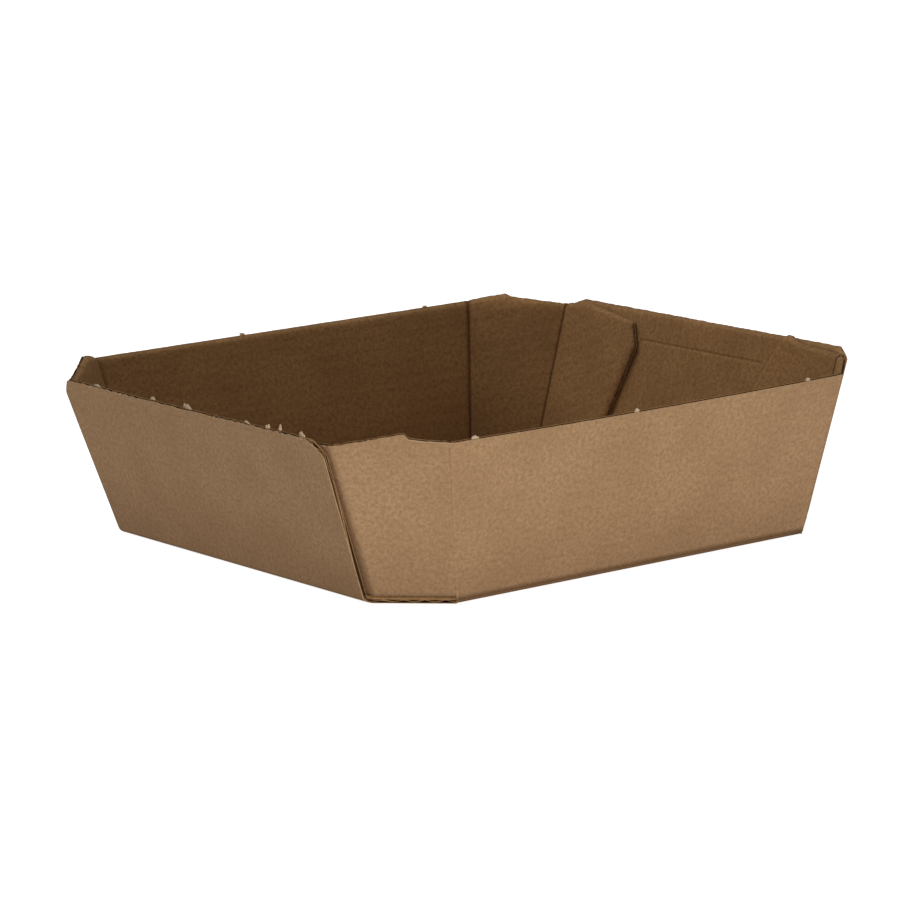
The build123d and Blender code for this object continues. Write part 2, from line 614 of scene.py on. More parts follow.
@dataclass
class CrossStrap:
    """Base and both short walls, folded from one strip whose flutes run along it."""

    board: Board
    shape: TrayShape
    corners: Dict[Tuple[int, int], WallCorner]
    liner_columns: int = 260
    medium_columns: int = 310
    base_rows: int = 8
    corner_rows: int = 9
    fold_rows: int = 8
    wall_rows: int = 12
    groove_rows: int = 11
    upper_rows: int = 3
    rim_rows: int = 16
    pocket_shade_columns: int = 3
    base_margin: float = 0.4 * MM
    groove_margin: float = 0.5 * MM
    rim_margin: float = 8.0 * MM
    rim_zone: float = 7.2 * MM
    near_burr: float = 0.34 * MM
    far_burr: float = 0.16 * MM
    burr_zone: float = 1.2 * MM
    burr_spacing: float = 1.5 * MM
    burr_seed: int = 11
    noise_shift: float = 0.5
    bow: float = 0.8 * MM
    lap: float = 0.8 * MM
    lap_inset: float = 0.05 * MM
    lap_margin: float = 0.05 * MM
    lip_shade_start: float = 1.2 * MM
    lip_shade_width: float = 1.6 * MM
    corner_round: float = 1.3
    rim_left: float = 0.42
    side_left: float = 0.6
    groove_level: float = 60.5 * MM
    groove_depth: float = 0.42 * MM
    groove_width: float = 1.1 * MM
    groove_reach: float = 43.0 * MM
    groove_end: float = 1.5 * MM

    def _wall_rises(self, start: float, top: float) -> np.ndarray:
        """Distances up a short wall, closer together at the groove and at the rim.

        Args:
            start: The lowest distance.
            top: Distance of the rim.

        Returns:
            The distances from the fold upwards.
        """
        line, wide = self.groove_level, self.groove_width
        lower = spread(start, line - wide - self.groove_margin, self.wall_rows)
        middle = spread(line - wide, line + wide, self.groove_rows)
        upper = spread(line + wide + self.groove_margin, top - self.rim_margin, self.upper_rows)
        rim = top - self.rim_zone * spread(1.0, 0.0, self.rim_rows) ** 1.5
        return np.concatenate([lower, middle, upper, rim])

    def _stations(self, recess: float) -> List[Station]:
        """Stations from the middle of the base up the wall at +X.

        Args:
            recess: How far the paper stays back from the cut edges.

        Returns:
            The stations in order.
        """
        shape, board = self.shape, self.board
        lean = shape.short_lean
        turn = pi / 2 - lean
        tangent = board.bend * tan(turn / 2)
        long_half = shape.half_length - shape.corner_cut
        level = np.array((0.0, 1.0))
        stations = []
        lapped = spread(0.0, long_half - self.base_margin, self.base_rows)
        cut_off = spread(long_half, shape.half_length - tangent, self.corner_rows)
        for x in np.concatenate([lapped, cut_off]):
            cut = max(0.0, x - long_half)
            half = shape.half_width - cut - (recess * sqrt(2) if cut > 0 else 0.0)
            if x < long_half:
                half = shape.half_width + shape.foot / cos(shape.long_lean) + self.lap
            stations.append(Station(x, np.array((x, 0.0)), level, half))
        centre = np.array((shape.half_length - tangent, board.bend))
        for angle in spread(0.0, turn, self.fold_rows)[1:-1]:
            point = centre + board.bend * np.array((sin(angle), -cos(angle)))
            flat = shape.half_length + (angle / turn * 2 - 1) * tangent
            half = shape.short_edge(0.0) + max(0.0, shape.half_length - flat) - recess
            stations.append(Station(flat, point, np.array((-sin(angle), cos(angle))), half))
        top = (shape.height + shape.rim_rise) / cos(lean)
        slope = np.array((sin(lean), cos(lean)))
        inward = np.array((-cos(lean), sin(lean)))
        for rise in self._wall_rises(tangent, top - recess):
            half = shape.short_edge(rise * cos(lean)) - recess
            point = np.array((shape.half_length, 0.0)) + slope * rise
            stations.append(Station(shape.half_length + rise, point, inward, half, top - rise))
        return stations

    def _edge(self, end: int, side: int, station: Station) -> float:
        """Distance of the strap's edge from its middle line.

        Args:
            end: -1 or 1 for the end of the tray.
            side: -1 or 1 for the side of the tray.
            station: The line across the strap.

        Returns:
            The distance.
        """
        corner = self.corners[(end, side)]
        rise = max(0.0, station.flat - self.shape.half_length)
        half = station.half + corner.reach * rise / self.shape.height
        if station.below_rim < corner.down:
            half -= corner.across * (1 - station.below_rim / corner.down) ** self.corner_round
        return half

    def _lip(self, across: np.ndarray) -> Tuple[np.ndarray, np.ndarray, np.ndarray]:
        """Bend at the base's long edges, where the strap runs up into the long walls.

        Args:
            across: Flat distances from the middle of the base.

        Returns:
            Outer points in YZ as two arrays, and the angle through which the board has turned.
        """
        shape, radius = self.shape, self.board.lip_bend
        turn = pi / 2 - shape.long_lean
        tangent = radius * tan(turn / 2)
        start = shape.half_width - tangent
        reach = np.abs(across)
        angle = np.clip((reach - start) / (2 * tangent), 0.0, 1.0) * turn
        beyond = np.maximum(reach - shape.half_width - tangent, 0.0)
        wall_foot_shade = shape.half_width + shape.long_foot / cos(shape.long_lean)
        covered = reach > wall_foot_shade - self.lap_margin
        y = np.minimum(reach, start) + radius * np.sin(angle) + beyond * sin(shape.long_lean)
        y -= self.lap_inset * covered
        z = radius * (1 - np.cos(angle)) + beyond * cos(shape.long_lean)
        return np.sign(across) * y, z, angle

    def sheet(self, layer: Layer) -> Sheet:
        """Grid of one paper over the whole strap.

        Args:
            layer: The paper.

        Returns:
            Its sheet.
        """
        half_path = self._stations(layer.recess)
        rows = 2 * len(half_path) - 1
        columns = self.medium_columns if layer.ply is Ply.MEDIUM else self.liner_columns
        share = spread(0.0, 1.0, columns)
        front = np.empty((rows, columns, 3))
        back = np.empty_like(front)
        flat = np.empty((rows, columns, 2))
        wear_and_shade = np.zeros((rows, columns))
        long_half = self.shape.half_length - self.shape.corner_cut
        for row in range(rows):
            place = row - len(half_path) + 1
            end = 1 if place > 0 else -1
            station = half_path[abs(place)]
            low, high = -self._edge(end, -1, station), self._edge(end, 1, station)
            across = low + (high - low) * share
            to_side = np.minimum(across - low, high - across)
            below = station.below_rim
            near_rim = eased(np.array(1 - below / self.burr_zone))
            ragged = smooth_noise(across + self.noise_shift, self.burr_spacing, self.burr_seed + end)
            burr = (self.far_burr if end > 0 else self.near_burr) * ragged * near_rim
            up = station.flat - self.shape.half_length
            bow = self.bow * (1 - (across / self.shape.half_width) ** 2)
            bow *= eased(np.array(up / self.groove_level))
            kept = 1 - self._groove(across, up)
            normal = station.normal
            slope = np.array((normal[1], abs(normal[0])))
            for faces, profile in ((front, layer.outer), (back, layer.inner)):
                depth = crushed(profile(across), self.board, np.full_like(across, below), self.rim_left)
                depth = crushed(depth, self.board, to_side, self.side_left) * kept
                if station.flat < long_half:
                    y, z, angle = self._lip(across)
                    faces[row, :, 0] = station.point[0] * end
                    faces[row, :, 1] = y - np.sign(across) * np.sin(angle) * profile(across)
                    faces[row, :, 2] = z + np.cos(angle) * profile(across)
                    continue
                shift = depth - bow
                faces[row, :, 0] = (station.point[0] + normal[0] * shift + slope[0] * burr) * end
                faces[row, :, 1] = across
                faces[row, :, 2] = station.point[1] + normal[1] * shift + slope[1] * burr
            flat[row, :, 0] = station.flat * end
            flat[row, :, 1] = across
            # painted shade in the flute pockets: the medium's columns next to its side edges
            if layer.ply is Ply.MEDIUM:
                wear_and_shade[row, 1:1 + self.pocket_shade_columns] = WEAR_AND_SHADE.shut_shade
                wear_and_shade[row, -1 - self.pocket_shade_columns:-1] = WEAR_AND_SHADE.shut_shade
            wear_and_shade[row, [0, -1]] = WEAR_AND_SHADE.side_edge
            # painted shade where the base's lip runs under the foot of a long wall
            if station.flat < long_half:
                past = np.abs(across) - self.shape.half_width + self.lip_shade_start
                wear_and_shade[row] = WEAR_AND_SHADE.wall_foot_shade * eased(past / self.lip_shade_width)
        wear_and_shade[[0, -1], :] = WEAR_AND_SHADE.raw
        return layer.sheet("base_", front, back, flat, wear_and_shade)

    def _groove(self, across: np.ndarray, up: float) -> np.ndarray:
        """Share of the thickness taken by the pressed groove between the tabs of a short wall.

        Args:
            across: Distances from the middle of the wall.
            up: Distance up the wall.

        Returns:
            One share for each distance.
        """
        inside = eased((self.groove_reach - np.abs(across)) / self.groove_end)
        near = eased(np.array(1 - abs(up - self.groove_level) / self.groove_width))
        return self.groove_depth / self.board.thickness * inside * near

    def build(self, finishes: Dict[Paper, bpy.types.Material]) -> List[bpy.types.Object]:
        """Makes the three papers of the strap.

        Args:
            finishes: The kraft materials.

        Returns:
            The pieces from the outside in.
        """
        made = []
        for layer in liner_layers(self.board):
            made.append(self.sheet(layer).build(finishes[layer.finish]))
        return made


@dataclass(frozen=True)
class TabCut:
    """Outline of a tab: reaches are from its fold, drops from the top of its fold."""

    foot_reach: float
    shoulder_reach: float
    shoulder_drop: float
    end_reach: float
    end_drop: float
    crest: Tuple[Tuple[float, float], ...]
    fold_shift: float = 0.0


@dataclass(frozen=True)
class CornerCut:
    """Free edge of a corner panel as (share from its hinge, rise) pairs."""

    crest: Tuple[Tuple[float, float], ...]


SQUARE_TAB = TabCut(
    foot_reach=38.5 * MM,
    shoulder_reach=54.0 * MM,
    shoulder_drop=13.0 * MM,
    end_reach=49.0 * MM,
    end_drop=2.5 * MM,
    crest=((0, 0), (0.31, 3.1 * MM), (1, 0)),
)
SLANTED_TAB = TabCut(
    foot_reach=38.5 * MM,
    shoulder_reach=55.0 * MM,
    shoulder_drop=25.0 * MM,
    end_reach=43.3 * MM,
    end_drop=-2.5 * MM,
    crest=((0, 0), (0.66, -0.3 * MM), (0.9, 2.2 * MM), (1, 0)),
)
HIDDEN_TAB = replace(SQUARE_TAB, crest=((0, 0), (1, 0)))
SHIFTED_TAB = replace(SLANTED_TAB, fold_shift=3.0 * MM)
TORN_CORNER = CornerCut(
    ((0, 0), (0.2, 0.9 * MM), (0.345, 2.2 * MM), (0.37, 4.3 * MM), (0.9, 0.4 * MM), (1, 0))
)
STEPPED_CORNER = CornerCut(((0, 0), (0.37, 3.9 * MM), (0.44, 2.5 * MM), (0.9, 0.2 * MM), (1, 0)))
LEVEL_CORNER = CornerCut((
    (0, 0.4 * MM),
    (0.1, 1.7 * MM),
    (0.29, 3.9 * MM),
    (0.33, 3.5 * MM),
    (0.63, 1.5 * MM),
    (0.8, 0.5 * MM),
    (1, 0),
))


def crest_profile(points: Sequence[Tuple[float, float]]) -> Profile:
    """Free edge through a few points."""
    places, rises = zip(*points)
    return lambda share: np.interp(share, places, rises)


class Part(IntEnum):
    """Panels of a long strap, from the tab at -X to the tab at +X."""

    NEAR_TAB = 0
    NEAR_CORNER = 1
    WALL = 2
    FAR_CORNER = 3
    FAR_TAB = 4


@dataclass
class Panel:
    """Flat stretch of a strap between two lines, each given by its point at a share of the height."""

    start: Callable[[float], np.ndarray]
    finish: Callable[[float], np.ndarray]
    normal: np.ndarray
    columns: int
    crest: Profile


@dataclass
class LongStrap:
    """Long wall with a corner panel and a glued tab at each end, folded from one strip."""

    board: Board
    shape: TrayShape
    side: int
    tabs: Dict[int, TabCut]
    corners: Dict[int, CornerCut]
    liner_rows: int = 50
    medium_rows: int = 84
    tab_columns: int = 42
    corner_columns: int = 50
    wall_columns: int = 105
    fold_columns: int = 9
    row_power: float = 1.5
    crest_power: int = 3
    foot_power: int = 6
    rim_left: float = 0.5
    end_left: float = 0.6
    foot_drop: float = 1.0 * MM
    burr: float = 0.22 * MM
    wall_burr_share: float = 0.25
    burr_zone: float = 1.5 * MM
    burr_spacing: float = 1.1 * MM
    burr_seed: int = 31
    noise_shift: float = 1.0
    crease_shade_edge: float = 0.6
    torn_from: float = 0.63

    def _hinge(self, end: int, share: float) -> np.ndarray:
        """Point of a long wall's end fold at a share of its height."""
        low = self.shape.foot
        return self.shape.long_fold(end, self.side, low + (self.shape.height - low) * share)

    def _tab_levels(self) -> Tuple[float, float]:
        """Heights of the foot and the top of a tab's fold."""
        return self.shape.foot, self.shape.height - self.shape.tab_drop

    def _tab_fold(self, end: int, share: float) -> np.ndarray:
        """Point of a tab's fold at a share of its height.

        Args:
            end: -1 or 1 for the end of the tray.
            share: Share of the height.

        Returns:
            The point on the outer faces.
        """
        low, high = self._tab_levels()
        shift = np.array((0.0, -self.side * self.tabs[end].fold_shift * share, 0.0))
        return self.shape.tab_fold(end, self.side, low + (high - low) * share, self.board) + shift

    def _tab_end(self, end: int, share: float) -> np.ndarray:
        """Point of a tab's free end at a share of its height: slanted foot, shoulder and short end.

        Args:
            end: -1 or 1 for the end of the tray.
            share: Share of the height.

        Returns:
            The point on the outer face.
        """
        tab = self.tabs[end]
        low, high = self._tab_levels()
        corner = (high - tab.shoulder_drop - low) / (high - tab.end_drop - low)
        if share < corner:
            reach = tab.foot_reach + (tab.shoulder_reach - tab.foot_reach) * share / corner
            level = low + (high - tab.shoulder_drop - low) * share / corner
        else:
            part = (share - corner) / (1 - corner)
            reach = tab.shoulder_reach + (tab.end_reach - tab.shoulder_reach) * part
            level = high - tab.shoulder_drop + (tab.shoulder_drop - tab.end_drop) * part
        fold = self.shape.tab_fold(end, self.side, level, self.board)
        return fold + np.array((0.0, -self.side * reach, 0.0))

    def _normals(self, end: int) -> Tuple[np.ndarray, np.ndarray, np.ndarray]:
        """Inward normals of the long wall, a corner panel and its tab.

        Args:
            end: -1 or 1 for the end of the tray.

        Returns:
            The three normals.
        """
        shape = self.shape
        long_wall = np.array((0.0, -self.side * cos(shape.long_lean), sin(shape.long_lean)))
        diagonal = np.array((-end, -self.side, 0.0)) / sqrt(2) * cos(shape.corner_lean)
        corner = diagonal + np.array((0.0, 0.0, sin(shape.corner_lean)))
        tab = np.array((-end * cos(shape.short_lean), 0.0, sin(shape.short_lean)))
        return long_wall, corner, tab

    def _panels(self) -> List[Panel]:
        """The five panels from the tab at -X round to the tab at +X.

        Returns:
            The panels in order.
        """
        long_wall, corner_a, tab_a = self._normals(-1)
        _, corner_b, tab_b = self._normals(1)

        def turned(crest: Profile) -> Profile:
            """The same edge read from its other end."""
            return lambda share: crest(1 - share)

        def tab_fold(end: int) -> Callable[[float], np.ndarray]:
            """Line of a tab's fold."""
            return lambda share: self._tab_fold(end, share)

        def hinge(end: int) -> Callable[[float], np.ndarray]:
            """Line of a long wall's end fold."""
            return lambda share: self._hinge(end, share)

        def tab_end(end: int) -> Callable[[float], np.ndarray]:
            """Line of a tab's free end."""
            return lambda share: self._tab_end(end, share)

        tab_crests = {end: crest_profile(tab.crest) for end, tab in self.tabs.items()}
        corner_crests = {end: crest_profile(cut.crest) for end, cut in self.corners.items()}
        tabs, corners = self.tab_columns, self.corner_columns
        return [
            Panel(tab_end(-1), tab_fold(-1), tab_a, tabs, turned(tab_crests[-1])),
            Panel(tab_fold(-1), hinge(-1), corner_a, corners, turned(corner_crests[-1])),
            Panel(hinge(-1), hinge(1), long_wall, self.wall_columns, np.zeros_like),
            Panel(hinge(1), tab_fold(1), corner_b, corners, corner_crests[1]),
            Panel(tab_fold(1), tab_end(1), tab_b, tabs, tab_crests[1]),
        ]

    def _unfold(self, panels: Sequence[Panel]) -> List[Callable[[np.ndarray], np.ndarray]]:
        """Maps from each panel's points to the flat blank, with the long wall as the fixed panel.

        Args:
            panels: The five panels.

        Returns:
            One map for each panel.
        """
        slope = np.array((0.0, self.side * sin(self.shape.long_lean), cos(self.shape.long_lean)))
        foot = np.array((0.0, self.side * self.shape.half_width, 0.0))
        axes = np.array(((1.0, 0.0, 0.0), slope * self.side))
        middle_to_foot = np.array((0.0, self.side * self.shape.half_width))
        frames = {Part.WALL: (np.eye(3), np.zeros(3))}
        turns = (
            (Part.WALL, Part.FAR_CORNER),
            (Part.FAR_CORNER, Part.FAR_TAB),
            (Part.WALL, Part.NEAR_CORNER),
            (Part.NEAR_CORNER, Part.NEAR_TAB),
        )

        def flatten(frame: Tuple[np.ndarray, np.ndarray]) -> Callable[[np.ndarray], np.ndarray]:
            """Flat places of points that a rotation and a shift bring into the long wall's plane."""
            turn, shift = frame
            return lambda points: (points @ turn.T + shift - foot) @ axes.T + middle_to_foot

        for first, second in turns:
            line = panels[second].start if second > first else panels[second].finish
            base, top = line(0.0), line(1.0)
            axis = unit(top - base)
            old, new = panels[first].normal, panels[second].normal
            source = np.array((axis, np.cross(axis, new), new))
            target = np.array((axis, np.cross(axis, old), old))
            turn = target.T @ source
            shift = base - turn @ base
            outer_turn, outer_shift = frames[first]
            frames[second] = (outer_turn @ turn, outer_turn @ shift + outer_shift)
        return [flatten(frames[index]) for index in range(len(panels))]

    def _row(self, panels: Sequence[Panel], share: float) -> Tuple[np.ndarray, ...]:
        """One row of the strap.

        Args:
            panels: The five panels.
            share: Share of the height.

        Returns:
            Outer points, inward normals, points on the unrounded path, panel numbers, shares along them and
            the painted crease shade by nearness to a fold.
        """
        points, normals, sharp, owners, places, crease_shades = [], [], [], [], [], []
        folds = [panel.start(share) for panel in panels] + [panels[-1].finish(share)]
        radius = self.board.bend
        tangents = [0.0] * (len(panels) + 1)
        for index in range(1, len(panels)):
            before = unit(folds[index - 1] - folds[index])
            after = unit(folds[index + 1] - folds[index])
            turn = pi - np.arccos(np.clip(before @ after, -1, 1))
            tangents[index] = radius * tan(turn / 2)
        for index, panel in enumerate(panels):
            direction = unit(folds[index + 1] - folds[index])
            length = np.linalg.norm(folds[index + 1] - folds[index])
            for distance in spread(tangents[index], length - tangents[index + 1], panel.columns):
                points.append(folds[index] + direction * distance)
                normals.append(panel.normal)
                sharp.append(points[-1])
                owners.append(index)
                places.append(distance / length)
            # painted crease shade: full in a fold, part at a panel's edge next to a fold
            edges = np.zeros(panel.columns)
            edges[0] = self.crease_shade_edge if index > 0 else 0.0
            edges[-1] = self.crease_shade_edge if index + 1 < len(panels) else 0.0
            crease_shades.extend(edges)
            if index + 1 == len(panels):
                break
            fold = folds[index + 1]
            after = unit(folds[index + 2] - fold)
            inward = unit(after - direction)
            sideways = unit(-direction - after)
            turn = pi - np.arccos(np.clip(-direction @ after, -1, 1))
            centre = fold + inward * radius / cos(turn / 2)
            for angle in spread(turn / 2, -turn / 2, self.fold_columns + 2)[1:-1]:
                normal = inward * cos(angle) - sideways * sin(angle)
                reach = tangents[index + 1] * abs(angle) / (turn / 2)
                points.append(centre - normal * radius)
                normals.append(normal)
                sharp.append(fold + (-direction if angle > 0 else after) * reach)
                owners.append(index if angle > 0 else index + 1)
                places.append(1 - reach / length if angle > 0 else 0.0)
                crease_shades.append(1.0)
        return tuple(np.array(part) for part in (points, normals, sharp, owners, places, crease_shades))

    def sheet(self, layer: Layer) -> Sheet:
        """Grid of one paper over the whole strap.

        Args:
            layer: The paper.

        Returns:
            Its sheet.
        """
        panels = self._panels()
        maps = self._unfold(panels)
        rows = self.medium_rows if layer.ply is Ply.MEDIUM else self.liner_rows
        heights = 1 - (1 - spread(0.0, 1.0, rows)) ** self.row_power
        fronts, backs, flats = [], [], []
        wall_slope = self.shape.height / cos(self.shape.long_lean)
        for share in heights:
            held = share * (1 - layer.recess / self.shape.height)
            points, normals, sharp, owners, places, crease_shades = self._row(panels, held)
            lifts = np.zeros(len(points))
            flat = np.zeros((len(points), 2))
            for index, panel in enumerate(panels):
                mine = owners == index
                lifts[mine] = panel.crest(places[mine]) * share ** self.crest_power
                near_foot = (1 - share) ** self.foot_power
                if index == Part.WALL:
                    lifts[mine] -= (self.shape.foot - self.shape.long_foot) * near_foot
                elif layer.ply is Ply.INNER:
                    lifts[mine] -= self.foot_drop * near_foot
                flat[mine] = maps[index](sharp[mine])
            near_rim = eased(np.array(1 - (1 - share) * wall_slope / self.burr_zone))
            rough = np.where(owners == Part.WALL, self.wall_burr_share, 1.0)
            along = flat[:, 0] + self.noise_shift
            ragged = smooth_noise(along, self.burr_spacing, self.burr_seed + self.side)
            lifts += self.burr * ragged * near_rim * rough
            flat[:, 1] += lifts * self.side
            slopes = np.cross(np.cross(normals, (0.0, 0.0, 1.0)), normals)
            slopes /= np.linalg.norm(slopes, axis=1)[:, None]
            bow_shape = 1 - (points[:, 0] / self.shape.half_length) ** 2
            bow = self.shape.long_bow * np.clip(bow_shape, 0, 1)
            bow = np.where(owners == Part.WALL, bow, 0.0) * share
            points = points + slopes * lifts[:, None] - normals * bow[:, None]
            across = flat[:, 1]
            to_rim = np.full(len(points), (1 - share) * wall_slope)
            ends = [np.linalg.norm(points - points[last], axis=1) for last in (0, -1)]
            to_end = np.minimum(*ends)
            for made, profile in ((fronts, layer.outer), (backs, layer.inner)):
                depth = crushed(profile(across), self.board, to_rim, self.rim_left)
                depth = crushed(depth, self.board, to_end, self.end_left)
                made.append(points + normals * depth[:, None])
            flats.append(flat)
        wear_and_shade = np.zeros((rows, len(flats[0])))
        # painted shade in the creases of the folds, on the inner liner
        if layer.ply is Ply.INNER:
            wear_and_shade -= crease_shades
        # painted shade along the long wall's foot; raw cut paper along the tabs' feet
        wear_and_shade[0, :] = np.where(owners == Part.WALL, WEAR_AND_SHADE.wall_foot_shade, WEAR_AND_SHADE.tab_foot)
        wear_and_shade[:, [0, -1]] = WEAR_AND_SHADE.tab_end
        wear_and_shade[-1, :] = WEAR_AND_SHADE.long_rim
        if self.side < 0:
            torn = (owners == Part.NEAR_CORNER) & (places > self.torn_from)
            wear_and_shade[-2:, torn] = WEAR_AND_SHADE.raw
        side_name = "front_" if self.side < 0 else "back_"
        return layer.sheet(side_name, np.array(fronts), np.array(backs), np.array(flats), wear_and_shade)

    def build(self, finishes: Dict[Paper, bpy.types.Material]) -> List[bpy.types.Object]:
        """Makes the three papers of the strap.

        Args:
            finishes: The kraft materials.

        Returns:
            The pieces from the outside in.
        """
        made = []
        for layer in liner_layers(self.board):
            made.append(self.sheet(layer).build(finishes[layer.finish]))
        return made


# ---- bits of torn paper --------------------------------------------------------------------------------
class Rim(Enum):
    """Rim on which a bit of torn paper stands."""

    NEAR_SHORT = "near_short"
    FRONT_LONG = "front_long"
    BACK_LONG = "back_long"


@dataclass(frozen=True)
class Flake:
    """Small curled bit of paper at a place along a rim."""

    rim: Rim
    place: float
    width: float
    rise: float


FLAKES = (
    Flake(Rim.NEAR_SHORT, 66.2 * MM, 3.8 * MM, 2.1 * MM),
    Flake(Rim.NEAR_SHORT, 24.4 * MM, 3.2 * MM, 1.8 * MM),
    Flake(Rim.NEAR_SHORT, -2.7 * MM, 4.4 * MM, 2.8 * MM),
    Flake(Rim.NEAR_SHORT, -46.4 * MM, 3.0 * MM, 1.8 * MM),
    Flake(Rim.NEAR_SHORT, -59.2 * MM, 2.6 * MM, 1.8 * MM),
    Flake(Rim.NEAR_SHORT, -67.6 * MM, 1.2 * MM, 2.8 * MM),
    Flake(Rim.NEAR_SHORT, -84.0 * MM, 3.4 * MM, 2.6 * MM),
    Flake(Rim.FRONT_LONG, -90.9 * MM, 3.6 * MM, 1.5 * MM),
    Flake(Rim.FRONT_LONG, -9.8 * MM, 2.2 * MM, 1.2 * MM),
    Flake(Rim.FRONT_LONG, 83.1 * MM, 2.2 * MM, 1.4 * MM),
    Flake(Rim.BACK_LONG, -22.1 * MM, 2.4 * MM, 0.9 * MM),
    Flake(Rim.BACK_LONG, 79.0 * MM, 2.4 * MM, 1.0 * MM),
)


@dataclass
class Fluff:
    """Bits of torn paper along the rims."""

    shape: TrayShape
    flakes: Tuple[Flake, ...] = FLAKES
    thickness: float = 0.5 * MM
    sunk: float = 0.9 * MM
    inset: float = 0.7 * MM
    columns: int = 7
    rows: int = 5
    first_seed: int = SEED + 100
    lowest_share: float = 0.45
    side_taper: float = 0.6
    curl_range: Tuple[float, float] = (-0.5, 0.9)
    flutter: float = 0.12

    def _frame(self, flake: Flake) -> Tuple[np.ndarray, np.ndarray, np.ndarray]:
        """Place of a flake.

        Args:
            flake: The flake.

        Returns:
            Its foot on the rim, the direction along the rim and the direction out of the tray.
        """
        shape = self.shape
        if flake.rim is Rim.NEAR_SHORT:
            level = shape.height + shape.rim_rise
            x = -shape.half_length - level * tan(shape.short_lean) + self.inset
            foot = np.array((x, flake.place, level))
            return foot, np.array((0.0, 1.0, 0.0)), np.array((-1.0, 0.0, 0.0))
        side = -1 if flake.rim is Rim.FRONT_LONG else 1
        bow = shape.long_bow * (1 - (flake.place / shape.half_length) ** 2)
        across = shape.half_width + shape.height * tan(shape.long_lean) + bow - self.inset
        foot = np.array((flake.place, side * across, shape.height))
        return foot, np.array((1.0, 0.0, 0.0)), np.array((0.0, side, 0.0))

    def _piece(self, number: int, flake: Flake, finish: bpy.types.Material) -> bpy.types.Object:
        """Makes one flake as a small curled sheet.

        Args:
            number: The flake's number, from 1.
            flake: The flake.
            finish: Its material.

        Returns:
            The piece.
        """
        foot, along, out = self._frame(flake)
        random = np.random.default_rng(self.first_seed + number)
        columns, rows = spread(-0.5, 0.5, self.columns), spread(0.0, 1.0, self.rows)
        front = np.empty((self.rows, self.columns, 3))
        taper = 1 - (2 * columns) ** 4 * self.side_taper
        ragged = random.uniform(self.lowest_share, 1.0, self.columns) * taper
        curl = random.uniform(*self.curl_range)
        for row, rise in enumerate(rows):
            height = -self.sunk + (self.sunk + flake.rise * ragged) * rise
            flutter = random.uniform(-self.flutter, self.flutter, self.columns) * MM
            lean = curl * flake.rise * rise ** 2 + flutter
            row_points = foot + along * (columns * flake.width)[:, None]
            front[row] = row_points + np.array((0.0, 0.0, 1.0)) * height[:, None] + out * lean[:, None]
        back = front - out * self.thickness
        flat = np.stack(np.meshgrid(columns * flake.width, rows * flake.rise), -1) + number
        wear_and_shade = np.full((self.rows, self.columns), WEAR_AND_SHADE.side_edge)
        return Sheet("fluff_%d" % number, front, back, flat, wear_and_shade, wear_and_shade).build(finish)

    def build(self, finish: bpy.types.Material) -> List[bpy.types.Object]:
        """Makes every flake."""
        return [self._piece(number, flake, finish) for number, flake in enumerate(self.flakes, 1)]


# ---- the tray ----------------------------------------------------------------------------------------
@dataclass
class Tray:
    """The folded blank and the glue that holds its tabs."""

    board: Board = field(default_factory=Board)
    shape: TrayShape = field(default_factory=TrayShape)

    def build(self, nodes: Dict[str, bpy.types.Object]) -> None:
        """Builds every piece and rides it on the one body.

        Args:
            nodes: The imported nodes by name.
        """
        finishes = {finish.paper: finish.build(self.board) for finish in KRAFT_FINISHES}
        pieces = CrossStrap(self.board, self.shape, WALL_CORNERS).build(finishes)
        pieces += Fluff(self.shape).build(finishes[Paper.FLUFF])
        front_tabs, back_tabs = {-1: HIDDEN_TAB, 1: SHIFTED_TAB}, {-1: HIDDEN_TAB, 1: SQUARE_TAB}
        front_corners = {-1: TORN_CORNER, 1: STEPPED_CORNER}
        back_corners = {-1: LEVEL_CORNER, 1: STEPPED_CORNER}
        pieces += LongStrap(self.board, self.shape, -1, front_tabs, front_corners).build(finishes)
        pieces += LongStrap(self.board, self.shape, 1, back_tabs, back_corners).build(finishes)
        for piece in pieces:
            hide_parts("folded_blank")
            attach(piece, "root")
            LOG.info("built %s with %d faces", piece.name, len(piece.data.polygons))
        glue = nodes["tab_glue"]
        glue.data.materials.clear()
        glue.data.materials.append(GlueFinish().build())
        LOG.info("dressed %s", glue.name)


# ---- setting -------------------------------------------------------------------------------------------
@dataclass(frozen=True)
class Lamp:
    """Soft lamp that faces the tray.

    The azimuth is in degrees, 0 at -Y and 90 at +X, and the elevation in degrees above the floor. The
    distance and the size are in metres and the power in watts.
    """

    name: str
    azimuth: float
    elevation: float
    distance: float
    size: Tuple[float, float]
    power: float

    def build(self) -> None:
        """Adds the lamp to the scene."""
        data = bpy.data.lights.new(self.name, "AREA")
        data.shape = "RECTANGLE"
        data.size, data.size_y = self.size
        data.energy = self.power
        lamp = bpy.data.objects.new(self.name, data)
        turn, tilt = radians(self.azimuth), radians(self.elevation)
        place = Vector((sin(turn) * cos(tilt), -cos(turn) * cos(tilt), sin(tilt)))
        lamp.location = place * self.distance
        lamp.rotation_euler = place.to_track_quat("Z", "Y").to_euler()
        bpy.context.scene.collection.objects.link(lamp)


LAMPS = (
    Lamp("key", -28.0, 1.3, 2.2, (0.9, 0.1), 25.0),
    Lamp("fill", 12.0, 1.3, 2.2, (0.9, 0.1), 7.0),
    Lamp("top", -135.0, 50.0, 2.4, (1.6, 1.6), 14.0),
)


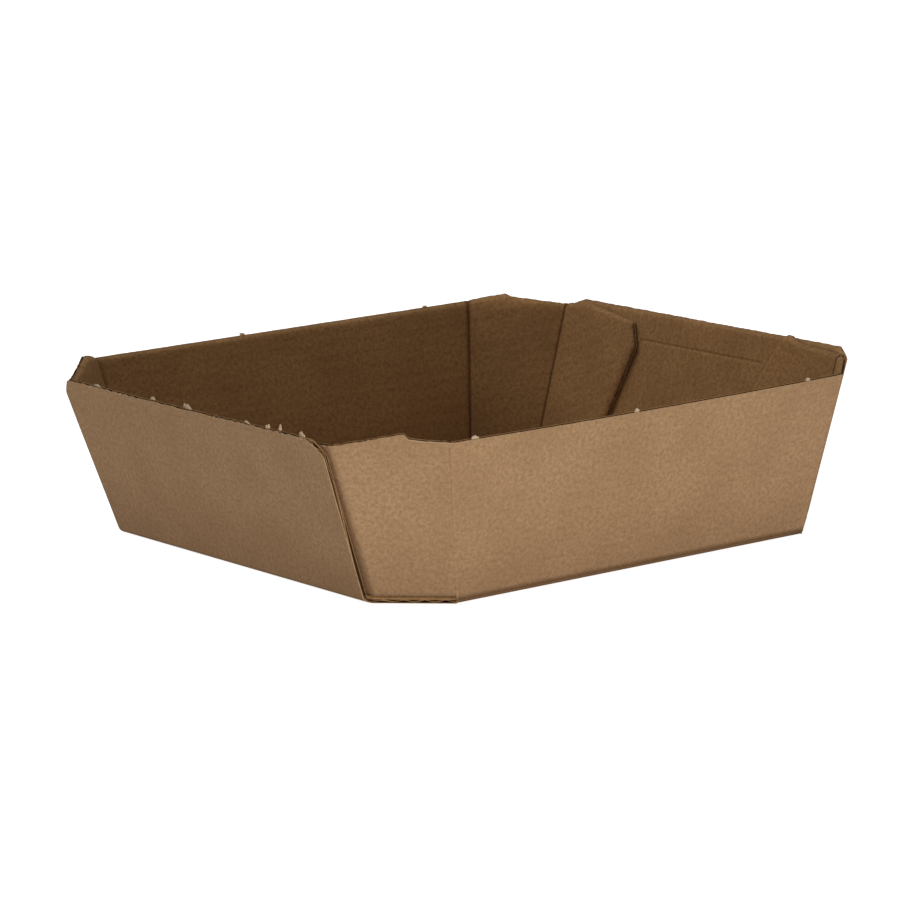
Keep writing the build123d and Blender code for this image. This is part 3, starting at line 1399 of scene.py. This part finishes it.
@dataclass
class Studio:
    """Pale floor, white surroundings, soft lamps and the camera."""

    aim: Tuple[float, float, float] = (0.0918, 0.1323, 0.0)
    azimuth: float = radians(-36.51)
    elevation: float = radians(11.48)
    roll: float = radians(-1.65)
    distance: float = 2.0897
    lens: float = 178.56
    sensor: float = 36.0
    floor_size: float = 30.0
    floor_grey: float = 0.85
    floor_glow: float = 0.85
    surround: float = 0.34

    def add_camera(self) -> None:
        """Places the camera at its angle and makes it the scene's own."""
        flat = cos(self.elevation)
        back = Vector((sin(self.azimuth) * flat, -cos(self.azimuth) * flat, sin(self.elevation)))
        right = (-back).cross(Vector((0.0, 0.0, 1.0))).normalized()
        up = right.cross(-back)
        right_rolled = right * cos(self.roll) + up * sin(self.roll)
        up_rolled = up * cos(self.roll) - right * sin(self.roll)
        data = bpy.data.cameras.new("camera")
        data.lens = self.lens
        data.sensor_width = self.sensor
        data.clip_end = 100.0
        camera = bpy.data.objects.new("camera", data)
        turn = Matrix((right_rolled, up_rolled, back)).transposed().to_4x4()
        camera.matrix_world = Matrix.Translation(Vector(self.aim) + back * self.distance) @ turn
        bpy.context.scene.collection.objects.link(camera)
        bpy.context.scene.camera = camera

    def add_floor(self) -> None:
        """Lays the pale floor."""
        mesh = bpy.data.meshes.new("floor")
        half = self.floor_size / 2
        corners = [(-half, -half, 0), (half, -half, 0), (half, half, 0), (-half, half, 0)]
        mesh.from_pydata(corners, [], [(0, 1, 2, 3)])
        mesh.materials.append(self._floor_material())
        floor = bpy.data.objects.new("floor", mesh)
        bpy.context.scene.collection.objects.link(floor)

    def _floor_material(self) -> bpy.types.Material:
        """White floor to the camera, which keeps the shadow of the tray.

        Returns:
            The finished material.
        """
        material = bpy.data.materials.new("floor_white")
        bench = NodeBench(material)
        grey = rgba((self.floor_grey,) * 3)
        ray = bench.node("ShaderNodeLightPath", {}, {}, "Is Camera Ray")
        diffuse = bench.node("ShaderNodeBsdfDiffuse", {}, {"Color": grey})
        glow = bench.node("ShaderNodeEmission", {}, {"Color": WHITE, "Strength": self.floor_glow})
        both = bench.node("ShaderNodeAddShader", {}, {0: diffuse, 1: glow})
        bench.close(bench.node("ShaderNodeMixShader", {}, {0: ray, 1: diffuse, 2: both}))
        return material

    def add_world(self) -> None:
        """Soft white surroundings, seen pure white."""
        world = bpy.data.worlds.new("studio")
        bench = NodeBench(world)
        ray = bench.node("ShaderNodeLightPath", {}, {}, "Is Camera Ray")
        seen = bench.node("ShaderNodeBackground", {}, {"Color": WHITE, "Strength": 1.0})
        unseen = bench.node("ShaderNodeBackground", {}, {"Color": WHITE, "Strength": self.surround})
        shader = bench.node("ShaderNodeMixShader", {}, {0: ray, 1: unseen, 2: seen})
        bench.close(shader, "ShaderNodeOutputWorld")
        bpy.context.scene.world = world

    def build(self) -> None:
        """Sets up the whole studio."""
        self.add_camera()
        self.add_floor()
        self.add_world()
        for lamp in LAMPS:
            lamp.build()
        bpy.context.scene.view_settings.view_transform = "Standard"


def main() -> None:
    """Builds the tray round its frame, then the studio."""
    logging.basicConfig(level=logging.INFO, format="%(name)s: %(message)s")
    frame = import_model()
    Tray().build(frame["nodes"])
    Studio().build()


if __name__ == "__main__":
    main()
